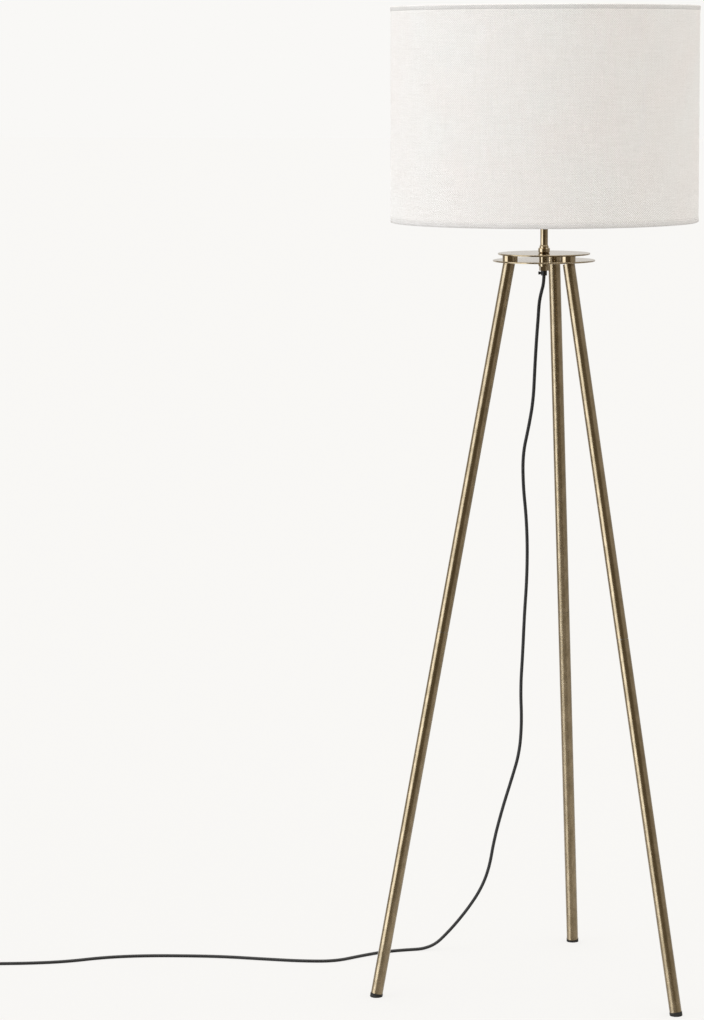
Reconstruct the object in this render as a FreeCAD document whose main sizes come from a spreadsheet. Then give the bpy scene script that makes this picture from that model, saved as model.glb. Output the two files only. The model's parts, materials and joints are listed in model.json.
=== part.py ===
"""Tripod floor lamp: three brass tube legs, a two-plate hub, a short stem and a linen drum shade.

Millimetres, +Z up. The floor is Z = 0 and the origin is under the middle of the lamp's own box.
The back leg points along +Y. The stem stands a little in front of the origin, because the back
foot reaches further from the stem than the shade does.
"""
import FreeCAD
import Part
import Sketcher
import math
import os
from FreeCAD import Vector

# ---------------------------------------------------------------- driving dimensions
DIMENSIONS = [
    # overall
    ("hub_height", 1160.0, "floor to the underside of the lower hub plate"),
    ("foot_radius", 276.8, "stem axis to the middle of a foot, on the floor"),
    ("leg_top_radius", 55.6, "stem axis to a leg's axis, at the hub's underside"),
    ("leg_twist", 5.9, "degrees that the leg tops sit clockwise of their feet"),
    ("shade_diameter", 480.0, "over the linen"),
    ("shade_height", 334.0, "lower edge to upper edge, trims included"),
    # legs
    ("leg_diameter", 19.0, "leg tube"),
    ("leg_wall", 1.2, "leg tube wall"),
    ("leg_seam", 0.6, "open line between the two tubes of a leg"),
    ("joiner_length", 50.0, "sleeve inside the two tubes of a leg"),
    ("plug_depth", 24.0, "plug inside the top of a leg"),
    ("stud_diameter", 8.0, "stud that screws a leg into its boss"),
    ("stud_reach", 8.2, "stud past the underside of the lower plate, along the leg"),
    ("foot_diameter", 19.8, "rubber foot"),
    ("foot_height", 5.5, "rubber foot below the tube, along the leg"),
    ("foot_spigot", 14.0, "part of the rubber foot that is pushed up the tube"),
    ("foot_rounding", 2.2, "rounding of the rubber foot's lower edge"),
    ("push_fit", 0.1, "radial clearance of pieces that are pushed or screwed together"),
    # hub
    ("lower_plate_diameter", 160.0, "lower hub plate"),
    ("upper_plate_diameter", 144.4, "upper hub plate"),
    ("plate_thickness", 2.5, "either hub plate"),
    ("plate_edge", 0.9, "rounding of the plates' rims"),
    ("plate_gap", 8.2, "between the two hub plates"),
    ("boss_diameter", 24.0, "leg boss between the plates"),
    ("spacer_diameter", 16.0, "spacer between the plates, round the nipple"),
    ("nipple_diameter", 10.0, "hollow threaded rod through the hub"),
    ("nipple_bore", 7.0, "way for the flex through the nipples"),
    ("bush_diameter", 18.0, "bush under the hub"),
    ("bush_height", 6.5, "bush under the hub"),
    ("washer_diameter", 16.4, "washer under the bush"),
    ("washer_thickness", 1.2, "washer under the bush"),
    ("nut_across_flats", 13.6, "nuts on the nipples"),
    ("lock_nut_height", 6.8, "nut under the washer"),
    ("grip_diameter", 9.5, "flex grip"),
    ("grip_height", 7.5, "flex grip below the nipple"),
    ("grip_spigot", 5.5, "flex grip inside the nipple"),
    ("grip_screw_azimuth", 190.0, "degrees: way the flex grip's screw points"),
    ("grip_screw_diameter", 3.0, "flex grip's screw"),
    ("grip_screw_head", 4.8, "flex grip's screw head, diameter"),
    ("grip_screw_head_length", 3.6, "flex grip's screw head, length"),
    ("grip_screw_neck", 0.6, "flex grip's screw between the grip and the head"),
    # stem
    ("collar_diameter", 18.6, "nut on the upper plate that holds the stem"),
    ("collar_height", 8.5, "nut on the upper plate"),
    ("collar_edge", 1.6, "chamfer of that nut"),
    ("stem_diameter", 12.0, "stem tube"),
    ("stem_length", 54.0, "stem tube above its nut"),
    ("neck_ring_diameter", 14.4, "ring round the foot of the stem"),
    ("neck_ring_height", 4.0, "ring round the foot of the stem"),
    ("nipple_grip", 10.0, "how far each nipple enters the stem"),
    # lampholder
    ("holder_diameter", 40.0, "lampholder"),
    ("holder_wall", 1.2, "lampholder's brass"),
    ("cap_neck_diameter", 18.0, "flat neck of the lampholder's cap, on the stem"),
    ("cap_neck_height", 3.0, "neck of the lampholder's cap"),
    ("cap_straight", 16.0, "straight part of the lampholder's cap, above its shoulder"),
    ("cap_nut_height", 3.0, "nut inside the cap"),
    ("sleeve_height", 36.0, "lampholder's threaded sleeve above the cap"),
    ("block_height", 15.0, "switch block inside the cap"),
    ("block_drop", 1.0, "switch block's top below the cap's rim"),
    ("holder_play", 0.3, "clearance round the pieces inside the lampholder"),
    ("insulator_wall", 3.6, "insulating lining of the sleeve"),
    ("screw_shell_bore", 27.2, "brass screw shell, inside"),
    ("screw_shell_wall", 0.5, "brass screw shell"),
    ("contact_diameter", 8.0, "centre contact"),
    ("terminal_diameter", 4.0, "terminal screws"),
    ("terminal_length", 3.2, "terminal screws below the block"),
    ("terminal_spacing", 22.0, "between the two terminal screws"),
    ("switch_level", 8.0, "switch shaft above the block's underside"),
    ("switch_shaft_diameter", 4.0, "switch shaft"),
    ("switch_shaft_play", 0.08, "radial running clearance of the switch shaft"),
    ("switch_shaft_start", 7.0, "stem axis to the shaft's inner end"),
    ("knob_diameter", 10.0, "switch knob"),
    ("knob_length", 11.0, "switch knob"),
    ("knob_gap", 3.0, "between the lampholder and the knob"),
    ("knob_ribs", 12.0, "ribs round the knob"),
    # bulb
    ("bulb_cap_diameter", 26.4, "bulb's screw cap"),
    ("bulb_cap_height", 24.0, "bulb's screw cap above its tip"),
    ("bulb_tip_rise", 2.5, "bulb's centre contact"),
    ("bulb_cone_rise", 6.0, "bulb's tip to the bottom of its screw cap"),
    ("bulb_diameter", 60.0, "bulb's glass"),
    ("bulb_length", 105.0, "bulb's tip to the top of its glass"),
    ("bulb_neck_diameter", 26.0, "bulb's glass at its cap"),
    ("bulb_crown_diameter", 2.0, "flat where the bulb's glass was closed"),
    ("glass_wall", 0.9, "bulb's glass"),
    ("bulb_seat_rise", 4.0, "bulb's tip above the cap's rim"),
    ("bulb_play", 0.3, "bulb's tip above the centre contact"),
    # shade
    ("fabric_thickness", 0.8, "linen"),
    ("liner_thickness", 0.5, "stiff film behind the linen"),
    ("trim_height", 7.0, "turned edge, seen from outside"),
    ("trim_thickness", 0.6, "turned edge"),
    ("layer_gap", 0.1, "between the layers of the shade"),
    ("ring_wire", 4.0, "wire rings inside the shade's edges"),
    ("arm_wire", 4.0, "spider arms"),
    ("fitter_play", 1.0, "between the lampholder and the shade's fitter ring"),
    ("fitter_width", 7.0, "shade's fitter ring, from its hole to its rim"),
    ("fitter_thickness", 2.0, "shade's fitter ring"),
    ("spider_rise", 52.0, "shade's lower edge to the fitter ring's underside"),
    ("fitter_level", 8.0, "fitter ring's underside above the cap's rim"),
    ("shade_play", 0.3, "gap above and below the fitter ring"),
    ("clamp_wall", 2.9, "wall of the clamping rings' threaded hubs"),
    ("clamp_flange_width", 3.0, "clamping rings' flanges past their hubs"),
    ("clamp_height", 7.0, "clamping rings"),
    ("clamp_flange", 2.0, "thickness of the clamping rings' flanges"),
    # flex
    ("flex_diameter", 5.3, "round two-core flex"),
    ("coil_middle_diameter", 58.0, "middle of the put-away coil's turns"),
    ("coil_width", 15.9, "three turns side by side"),
    ("coil_rise", 10.6, "two turns on each other"),
    ("coil_lift", 0.8, "thickness of the tie that the coil lies on"),
    # plug
    ("plug_width", 35.0, "plug, across its pins"),
    ("plug_nose_width", 26.0, "plug's flat nose, across its pins"),
    ("plug_thickness", 13.7, "plug"),
    ("plug_length", 34.0, "plug without pins and flex relief"),
    ("plug_shoulder", 12.0, "plug's nose to its widest place"),
    ("plug_tail_width", 12.0, "plug where the flex relief begins"),
    ("plug_edge", 2.5, "rounding of the plug's long edges"),
    ("relief_length", 26.0, "plug's tapered flex relief"),
    ("relief_root_diameter", 11.0, "flex relief at the plug"),
    ("relief_end_diameter", 7.4, "flex relief at the flex"),
    ("pin_diameter", 4.0, "plug pins"),
    ("pin_length", 19.0, "plug pins"),
    ("pin_spacing", 18.6, "between the pins"),
    ("pin_root", 8.0, "pins inside the plug"),
    ("pin_sleeve_length", 10.0, "insulating sleeves on the pins"),
    ("pin_sleeve_diameter", 3.6, "insulating sleeves, a little thinner than the bare pins"),
    ("pin_sleeve_wall", 0.35, "insulating sleeves on the pins"),
]

# Where the flex runs, from under its grip to the coil, from the stem's axis. The last ones lie on the floor.
HANGING = [
    (-0.5, 0, 1125), (-4, 1, 1113), (-8, 2.5, 1096), (-10, 6, 1073), (-14, 12, 1035),
    (-18, 20, 990), (-22, 29, 938), (-31, 37, 894), (-42, 45, 850), (-43, 55, 797),
    (-40, 65, 749), (-40, 76, 699), (-43, 87, 641), (-49, 98, 582), (-54, 111, 519),
    (-60, 123, 457), (-60, 135, 399), (-66, 146, 345), (-82, 155, 295), (-98, 164, 247),
    (-114, 174, 191), (-124, 184, 141), (-139, 189, 103), (-162, 190, 67), (-192, 189, 29),
]
ON_FLOOR = [
    (-219, 165), (-265, 142), (-293, 123), (-323, 89), (-354, 48), (-405, 36), (-471, 34),
    (-542, 34), (-611, 23), (-675, 8), (-733, -17), (-783, -56), (-837, -80), (-895, -97),
    (-945, -110),
]
COIL_CENTRE = (-953.8, -76.8)
TAIL = [
    (-986.8, -86.2, 8.75), (-990.5, -73, 7.2), (-995, -59, 5.0), (-998.5, -44, 4.6), (-1003, -28, 6.85),
]
PLUG_HEADING = 105.0

doc = FreeCAD.newDocument("tripod_floor_lamp")
sheet = doc.addObject("Spreadsheet::Sheet", "Dims")
for row, (alias, size, note) in enumerate(DIMENSIONS, start=1):
    sheet.set(f"A{row}", note)
    sheet.set(f"B{row}", str(size))
    sheet.setAlias(f"B{row}", alias)
doc.recompute()


def size(expression):
    """The number that an expression on the sheet comes to."""
    return float(sheet.evalExpression(expression))


# ---------------------------------------------------------------- levels and places
LOWER_PLATE_TOP = "(Dims.hub_height + Dims.plate_thickness)"
UPPER_PLATE_UNDER = f"({LOWER_PLATE_TOP} + Dims.plate_gap)"
HUB_TOP = f"({UPPER_PLATE_UNDER} + Dims.plate_thickness)"
COLLAR_TOP = f"({HUB_TOP} + Dims.collar_height)"
STEM_TOP = f"({COLLAR_TOP} + Dims.stem_length)"
CAP_SHOULDER = "(Dims.holder_diameter / 2 - Dims.cap_neck_diameter / 2)"
CAP_TOP = f"({STEM_TOP} + Dims.cap_neck_height + {CAP_SHOULDER} + Dims.cap_straight)"
SLEEVE_TOP = f"({CAP_TOP} + Dims.sleeve_height)"
BLOCK_TOP = f"({CAP_TOP} - Dims.block_drop)"
BLOCK_UNDER = f"({BLOCK_TOP} - Dims.block_height)"
SWITCH_HEIGHT = f"({BLOCK_UNDER} + Dims.switch_level)"
BULB_TIP = f"({CAP_TOP} + Dims.bulb_seat_rise)"
FITTER_UNDER = f"({CAP_TOP} + Dims.fitter_level)"
SHADE_BASE = f"({FITTER_UNDER} - Dims.spider_rise)"
SHADE_TOP = f"({SHADE_BASE} + Dims.shade_height)"
BUSH_UNDER = "(Dims.hub_height - Dims.bush_height)"
WASHER_UNDER = f"({BUSH_UNDER} - Dims.washer_thickness)"
NIPPLE_END = f"({WASHER_UNDER} - Dims.lock_nut_height)"
FLEX_EXIT = f"({NIPPLE_END} - Dims.grip_height)"

THREAD_HOLE = "(Dims.nipple_diameter / 2 + Dims.push_fit)"
LEG_BORE = "(Dims.leg_diameter / 2 - Dims.leg_wall)"
FLEX_RADIUS = "(Dims.flex_diameter / 2)"

# The stem stands where the lamp's box, from the shade's front to the back foot, is centred.
STEM_Y = "((Dims.shade_diameter / 2 + Dims.trim_thickness - Dims.foot_radius - Dims.foot_diameter / 2) / 2)"
ON_STEM = f"placement(vector(0; {STEM_Y}; 0); rotation(vector(0; 0; 1); 0))"

LEGS = {"back": 90, "left": 210, "right": 330}
SPIDER_ARMS = (30, 150, 270)
LEG_LENGTH = (
    "sqrt(Dims.hub_height ^ 2 + Dims.foot_radius ^ 2 + Dims.leg_top_radius ^ 2"
    " - 2 * Dims.foot_radius * Dims.leg_top_radius * cos(Dims.leg_twist * 1 deg))"
)
LEG_TOP = f"({LEG_LENGTH} - Dims.leg_diameter / 2 * sqrt(({LEG_LENGTH} / Dims.hub_height) ^ 2 - 1))"
LEG_MIDDLE = f"({LEG_LENGTH} / 2)"


def leg_point(angle, level):
    """A leg's axis at a height, as two expressions; angle is its foot's azimuth in degrees."""
    foot_turn = f"({angle} * 1 deg)"
    top_turn = f"(({angle} - Dims.leg_twist) * 1 deg)"
    share = f"({level} / Dims.hub_height)"
    across = (
        f"(Dims.foot_radius * cos({foot_turn}) * (1 - {share})"
        f" + Dims.leg_top_radius * cos({top_turn}) * {share})"
    )
    along = (
        f"({STEM_Y} + Dims.foot_radius * sin({foot_turn}) * (1 - {share})"
        f" + Dims.leg_top_radius * sin({top_turn}) * {share})"
    )
    return across, along


def on_leg(angle):
    """Placement of a leg: its own Z runs up the leg's axis from the floor."""
    foot_x, foot_y = leg_point(angle, "0")
    top_x, top_y = leg_point(angle, "Dims.hub_height")
    return (
        f"placement(vector({foot_x}; {foot_y}; 0);"
        f" rotation(vector({foot_y} - {top_y}; {top_x} - {foot_x}; 0);"
        f" acos(Dims.hub_height / {LEG_LENGTH})))"
    )


# ---------------------------------------------------------------- ways to make a piece
def origin_plane(body, role):
    for feature in body.Origin.OriginFeatures:
        if feature.Role == role:
            return feature
    raise ValueError(role)


def arc_between(start, end, centre_x):
    """The shorter arc between two points, round a centre that lies at centre_x."""
    squares = end.x ** 2 + end.y ** 2 - start.x ** 2 - start.y ** 2
    centre_y = (squares - 2 * centre_x * (end.x - start.x)) / (2 * (end.y - start.y))
    centre = Vector(centre_x, centre_y, 0)
    first, last = start - centre, end - centre
    if first.cross(last).z < 0:
        first, last = last, first
    from_angle = math.atan2(first.y, first.x)
    to_angle = from_angle + first.getAngle(last)
    return Part.ArcOfCircle(Part.Circle(centre, Vector(0, 0, 1), first.Length), from_angle, to_angle)


def hold(sketch, geometry, point, expression, direction, value):
    """Keeps one coordinate of a point of the sketch at what the sheet says."""
    if expression == "0":
        axis = -2 if direction == "DistanceX" else -1
        sketch.addConstraint(Sketcher.Constraint("PointOnObject", geometry, point, axis))
        return
    number = sketch.addConstraint(Sketcher.Constraint(direction, -1, 1, geometry, point, value))
    sketch.setExpression(f"Constraints[{number}]", expression)


def draw(sketch, outline):
    """A closed outline of (x, y) corners; a third value is the arc's centre, across, up to the next."""
    corners = [Vector(size(corner[0]), size(corner[1]), 0) for corner in outline]
    count = len(outline)
    ends = []
    for index, corner in enumerate(outline):
        start, end = corners[index], corners[(index + 1) % count]
        if len(corner) == 3:
            sketch.addGeometry(arc_between(start, end, size(corner[2])), False)
        else:
            sketch.addGeometry(Part.LineSegment(start, end), False)
        forward = sketch.Geometry[index].StartPoint.distanceToPoint(start) < 1e-6
        ends.append((1, 2) if forward else (2, 1))
    for index, corner in enumerate(outline):
        after = (index + 1) % count
        begin, finish = ends[index]
        sketch.addConstraint(Sketcher.Constraint("Coincident", index, finish, after, ends[after][0]))
        hold(sketch, index, begin, corner[0], "DistanceX", corners[index].x)
        hold(sketch, index, begin, corner[1], "DistanceY", corners[index].y)
        if len(corner) == 3:
            hold(sketch, index, 3, corner[2], "DistanceX", size(corner[2]))


def sketch_on(body, name, plane):
    sketch = body.newObject("Sketcher::SketchObject", name)
    sketch.AttachmentSupport = (origin_plane(body, plane), [""])
    sketch.MapMode = "FlatFace"
    return sketch


def turned(name, outline, place=ON_STEM):
    """A round piece: half its outline, as (radius, height) corners, spun about its own Z."""
    body = doc.addObject("PartDesign::Body", name)
    body.Label = name
    sketch = sketch_on(body, f"{name}_outline", "XZ_Plane")
    draw(sketch, outline)
    spun = body.newObject("PartDesign::Revolution", f"{name}_spun")
    spun.Profile = sketch
    spun.ReferenceAxis = (sketch, ["V_Axis"])
    spun.Angle = 360
    sketch.Visibility = False
    body.setExpression("Placement", place)
    return body


def tube(name, outer, bore, low, high, place=ON_STEM):
    """A turned piece with straight walls."""
    return turned(name, [(bore, low), (outer, low), (outer, high), (bore, high)], place)


def rod(name, radius, low, high, place=ON_STEM):
    return turned(name, [("0", low), (radius, low), (radius, high), ("0", high)], place)


def cylinder(name, radius, height, place):
    piece = doc.addObject("Part::Cylinder", name)
    piece.Label = name
    piece.setExpression("Radius", radius)
    piece.setExpression("Height", height)
    piece.setExpression("Placement", place)
    return piece


def less(name, base, tool):
    """The base with the tool's space taken out."""
    cut = doc.addObject("Part::Cut", name)
    cut.Label = name
    cut.Base = base
    cut.Tool = tool
    return cut


def together(name, pieces):
    joined = doc.addObject("Part::MultiFuse", name)
    joined.Label = name
    joined.Shapes = pieces
    return joined


def hex_nut(name, low, height):
    """A nut on a nipple."""
    prism = doc.addObject("Part::Prism", f"{name}_hexagon")
    prism.Polygon = 6
    prism.setExpression("Circumradius", "Dims.nut_across_flats / sqrt(3)")
    prism.setExpression("Height", height)
    place = f"placement(vector(0; {STEM_Y}; {low}); rotation(vector(0; 0; 1); 0))"
    prism.setExpression("Placement", place)
    return less(name, prism, cylinder(f"{name}_thread", THREAD_HOLE, height, place))


def sideways(turn, level, start="0"):
    """Placement of a piece whose own Z points away from the stem, at a height and an azimuth."""
    return (
        f"placement(vector({start} * cos({turn} * 1 deg); {STEM_Y} + {start} * sin({turn} * 1 deg);"
        f" {level}); rotation(vector(-sin({turn} * 1 deg); cos({turn} * 1 deg); 0); 90 deg))"
    )


# ---------------------------------------------------------------- legs
def legs():
    nodes = []
    seam_low = f"({LEG_MIDDLE} - Dims.leg_seam / 2)"
    seam_high = f"({LEG_MIDDLE} + Dims.leg_seam / 2)"
    inside = f"({LEG_BORE} - Dims.push_fit)"
    outside = "(Dims.leg_diameter / 2)"
    foot = "(Dims.foot_diameter / 2)"
    stud = "(Dims.stud_diameter / 2)"
    floor = doc.addObject("Part::Box", "under_floor")
    reach = "(Dims.foot_radius + Dims.foot_diameter)"
    for side in ("Length", "Width"):
        floor.setExpression(side, f"2 * {reach}")
    floor.setExpression("Height", "Dims.foot_diameter")
    floor.setExpression(
        "Placement",
        f"placement(vector(-{reach}; {STEM_Y} - {reach}; -Dims.foot_diameter);"
        " rotation(vector(0; 0; 1); 0))",
    )
    for side, angle in LEGS.items():
        place = on_leg(angle)
        nodes.append(tube(f"leg_lower_{side}", outside, LEG_BORE, "Dims.foot_height", seam_low, place))
        nodes.append(tube(f"leg_upper_{side}", outside, LEG_BORE, seam_high, LEG_TOP, place))
        plug = [
            ("0", f"{LEG_TOP} - Dims.plug_depth"),
            (inside, f"{LEG_TOP} - Dims.plug_depth"),
            (inside, LEG_TOP),
            (stud, LEG_TOP),
            (stud, f"{LEG_LENGTH} + Dims.stud_reach"),
            ("0", f"{LEG_LENGTH} + Dims.stud_reach"),
        ]
        nodes.append(turned(f"leg_stud_{side}", plug, place))
        pad = [
            ("0", "-Dims.foot_rounding"),
            (f"{foot} - Dims.foot_rounding", "-Dims.foot_rounding", f"{foot} - Dims.foot_rounding"),
            (foot, "0"),
            (foot, "Dims.foot_height"),
            (inside, "Dims.foot_height"),
            (inside, "Dims.foot_height + Dims.foot_spigot"),
            ("0", "Dims.foot_height + Dims.foot_spigot"),
        ]
        nodes.append(less(f"foot_{side}", turned(f"foot_blank_{side}", pad, place), floor))
    sleeves = [
        tube(
            f"joiner_{side}",
            inside,
            f"({inside} - 2 * Dims.leg_wall)",
            f"{LEG_MIDDLE} - Dims.joiner_length / 2",
            f"{LEG_MIDDLE} + Dims.joiner_length / 2",
            on_leg(angle),
        )
        for side, angle in LEGS.items()
    ]
    nodes.append(together("leg_joiners", sleeves))
    return nodes


# ---------------------------------------------------------------- hub
def round_plate(name, diameter, low):
    """A round plate with a rounded rim and a hole for the nipple."""
    rim = f"({diameter} / 2)"
    inner_rim = f"({rim} - Dims.plate_edge)"
    high = f"({low} + Dims.plate_thickness)"
    outline = [
        (THREAD_HOLE, low),
        (inner_rim, low, inner_rim),
        (rim, f"{low} + Dims.plate_edge"),
        (rim, f"{high} - Dims.plate_edge", inner_rim),
        (inner_rim, high),
        (THREAD_HOLE, high),
    ]
    return turned(name, outline)


def hub():
    nodes = []
    bores = {}
    for side, angle in LEGS.items():
        bores[side] = cylinder(
            f"stud_bore_{side}",
            "Dims.stud_diameter / 2 + Dims.push_fit",
            f"{LEG_LENGTH} + Dims.stud_reach + Dims.push_fit",
            on_leg(angle),
        )
    blank = round_plate("lower_plate_blank", "Dims.lower_plate_diameter", "Dims.hub_height")
    nodes.append(less("hub_lower_plate", blank, together("stud_bores", list(bores.values()))))
    nodes.append(round_plate("hub_upper_plate", "Dims.upper_plate_diameter", UPPER_PLATE_UNDER))
    middle = f"({LOWER_PLATE_TOP} + Dims.plate_gap / 2)"
    for side, angle in LEGS.items():
        x, y = leg_point(angle, middle)
        place = f"placement(vector({x}; {y}; {LOWER_PLATE_TOP}); rotation(vector(0; 0; 1); 0))"
        blank = cylinder(f"boss_blank_{side}", "Dims.boss_diameter / 2", "Dims.plate_gap", place)
        nodes.append(less(f"leg_boss_{side}", blank, bores[side]))
    nodes.append(
        tube("hub_spacer", "Dims.spacer_diameter / 2", THREAD_HOLE, LOWER_PLATE_TOP, UPPER_PLATE_UNDER)
    )
    nodes.append(
        tube(
            "hub_nipple",
            "Dims.nipple_diameter / 2",
            "Dims.nipple_bore / 2",
            NIPPLE_END,
            f"{COLLAR_TOP} + Dims.nipple_grip",
        )
    )
    nodes.append(tube("hub_bush", "Dims.bush_diameter / 2", THREAD_HOLE, BUSH_UNDER, "Dims.hub_height"))
    nodes.append(tube("hub_washer", "Dims.washer_diameter / 2", THREAD_HOLE, WASHER_UNDER, BUSH_UNDER))
    nodes.append(hex_nut("hub_lock_nut", NIPPLE_END, "Dims.lock_nut_height"))
    return nodes


def flex_grip():
    """The black grip under the hub, the screw in its side and the flex that goes up the stem."""
    bore = f"({FLEX_RADIUS} + 2 * Dims.push_fit)"
    outline = [
        (bore, FLEX_EXIT),
        ("Dims.grip_diameter / 2", FLEX_EXIT),
        ("Dims.grip_diameter / 2", NIPPLE_END),
        ("Dims.nipple_bore / 2 - Dims.push_fit", NIPPLE_END),
        ("Dims.nipple_bore / 2 - Dims.push_fit", f"{NIPPLE_END} + Dims.grip_spigot"),
        (bore, f"{NIPPLE_END} + Dims.grip_spigot"),
    ]
    level = f"({FLEX_EXIT} + Dims.grip_height / 2)"
    screw_hole = cylinder(
        "grip_screw_hole",
        "Dims.grip_screw_diameter / 2 + Dims.push_fit",
        "Dims.grip_diameter",
        sideways("Dims.grip_screw_azimuth", level),
    )
    grip = less("flex_grip", turned("flex_grip_blank", outline), screw_hole)
    head = "(Dims.grip_diameter / 2 + Dims.grip_screw_neck)"
    screw = [
        ("0", f"{FLEX_RADIUS} + Dims.push_fit"),
        ("Dims.grip_screw_diameter / 2", f"{FLEX_RADIUS} + Dims.push_fit"),
        ("Dims.grip_screw_diameter / 2", head),
        ("Dims.grip_screw_head / 2", head),
        ("Dims.grip_screw_head / 2", f"{head} + Dims.grip_screw_head_length"),
        ("0", f"{head} + Dims.grip_screw_head_length"),
    ]
    nodes = [grip, turned("flex_grip_screw", screw, sideways("Dims.grip_screw_azimuth", level))]
    flex_end = f"({BLOCK_UNDER} - Dims.terminal_length)"
    nodes.append(rod("inner_flex", FLEX_RADIUS, FLEX_EXIT, flex_end))
    return nodes


# ---------------------------------------------------------------- stem and lampholder
def stem():
    collar = "(Dims.collar_diameter / 2)"
    edge = "Dims.collar_edge"
    collar_outline = [
        (THREAD_HOLE, HUB_TOP),
        (f"{collar} - {edge}", HUB_TOP),
        (collar, f"{HUB_TOP} + {edge}"),
        (collar, f"{COLLAR_TOP} - {edge}"),
        (f"{collar} - {edge}", COLLAR_TOP),
        (THREAD_HOLE, COLLAR_TOP),
    ]
    ring_bore = "(Dims.stem_diameter / 2 + Dims.push_fit)"
    ring = [
        (ring_bore, COLLAR_TOP),
        ("Dims.neck_ring_diameter / 2", COLLAR_TOP),
        ("Dims.neck_ring_diameter / 2", f"{COLLAR_TOP} + Dims.neck_ring_height / 2"),
        (f"{ring_bore} + Dims.push_fit", f"{COLLAR_TOP} + Dims.neck_ring_height"),
        (ring_bore, f"{COLLAR_TOP} + Dims.neck_ring_height"),
    ]
    return [
        turned("stem_collar_nut", collar_outline),
        turned("stem_neck_ring", ring),
        tube("stem_tube", "Dims.stem_diameter / 2", THREAD_HOLE, COLLAR_TOP, STEM_TOP),
        tube(
            "stem_top_nipple",
            "Dims.nipple_diameter / 2",
            "Dims.nipple_bore / 2",
            f"{STEM_TOP} - Dims.nipple_grip",
            f"{STEM_TOP} + Dims.cap_neck_height + Dims.holder_wall + Dims.cap_nut_height",
        ),
    ]


def lampholder():
    outer = "(Dims.holder_diameter / 2)"
    inner = f"({outer} - Dims.holder_wall)"
    neck = "(Dims.cap_neck_diameter / 2)"
    neck_top = f"({STEM_TOP} + Dims.cap_neck_height)"
    nut_seat = f"({neck_top} + Dims.holder_wall)"
    shoulder_top = f"{neck_top} + {CAP_SHOULDER}"
    cap_outline = [
        (THREAD_HOLE, STEM_TOP),
        (neck, STEM_TOP),
        (neck, neck_top, neck),
        (outer, shoulder_top),
        (outer, CAP_TOP),
        (inner, CAP_TOP),
        (inner, shoulder_top, neck),
        (neck, nut_seat),
        (THREAD_HOLE, nut_seat),
    ]
    shaft_way = cylinder(
        "switch_way",
        "Dims.switch_shaft_diameter / 2 + Dims.holder_play",
        "Dims.holder_diameter",
        sideways("0", SWITCH_HEIGHT),
    )
    shaft_bearing = cylinder(
        "switch_bearing",
        "Dims.switch_shaft_diameter / 2 + Dims.switch_shaft_play",
        "Dims.holder_diameter",
        sideways("0", SWITCH_HEIGHT, "(Dims.switch_shaft_start - Dims.holder_play)"),
    )
    block = f"({inner} - Dims.holder_play)"
    nodes = [
        less("holder_cap", turned("holder_cap_blank", cap_outline), shaft_way),
        hex_nut("holder_nut", nut_seat, "Dims.cap_nut_height"),
        less("holder_switch_block", rod("switch_block_blank", block, BLOCK_UNDER, BLOCK_TOP), shaft_bearing),
    ]
    terminals = []
    for name, way in (("live", "-1"), ("neutral", "1")):
        place = (
            f"placement(vector(0; {STEM_Y} + {way} * Dims.terminal_spacing / 2;"
            f" {BLOCK_UNDER} - Dims.terminal_length); rotation(vector(0; 0; 1); 0))"
        )
        terminals.append(
            cylinder(f"terminal_{name}", "Dims.terminal_diameter / 2", "Dims.terminal_length", place)
        )
    nodes.append(together("holder_terminals", terminals))
    lining = f"({inner} - Dims.holder_play)"
    lining_bore = f"({lining} - Dims.insulator_wall)"
    nodes.append(tube("holder_sleeve", outer, inner, CAP_TOP, SLEEVE_TOP))
    nodes.append(tube("holder_lining", lining, lining_bore, BLOCK_TOP, f"{SLEEVE_TOP} - Dims.block_drop"))
    shell_bore = "(Dims.screw_shell_bore / 2)"
    shell_top = f"({BULB_TIP} + Dims.bulb_cap_height)"
    shell = [
        (shell_bore, BULB_TIP),
        (f"{shell_bore} + Dims.screw_shell_wall", BULB_TIP),
        (f"{shell_bore} + Dims.screw_shell_wall", f"{shell_top} - Dims.screw_shell_wall"),
        (lining_bore, f"{shell_top} - Dims.screw_shell_wall"),
        (lining_bore, shell_top),
        (shell_bore, shell_top),
    ]
    nodes.append(turned("holder_screw_shell", shell))
    contact = "(Dims.contact_diameter / 2)"
    tongue = [
        ("0", BLOCK_TOP),
        (contact, BLOCK_TOP),
        (contact, f"{BLOCK_TOP} + Dims.screw_shell_wall"),
        (f"{contact} / 2", f"{BULB_TIP} - Dims.bulb_play"),
        ("0", f"{BULB_TIP} - Dims.bulb_play"),
    ]
    nodes.append(turned("holder_centre_contact", tongue))
    return nodes


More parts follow.
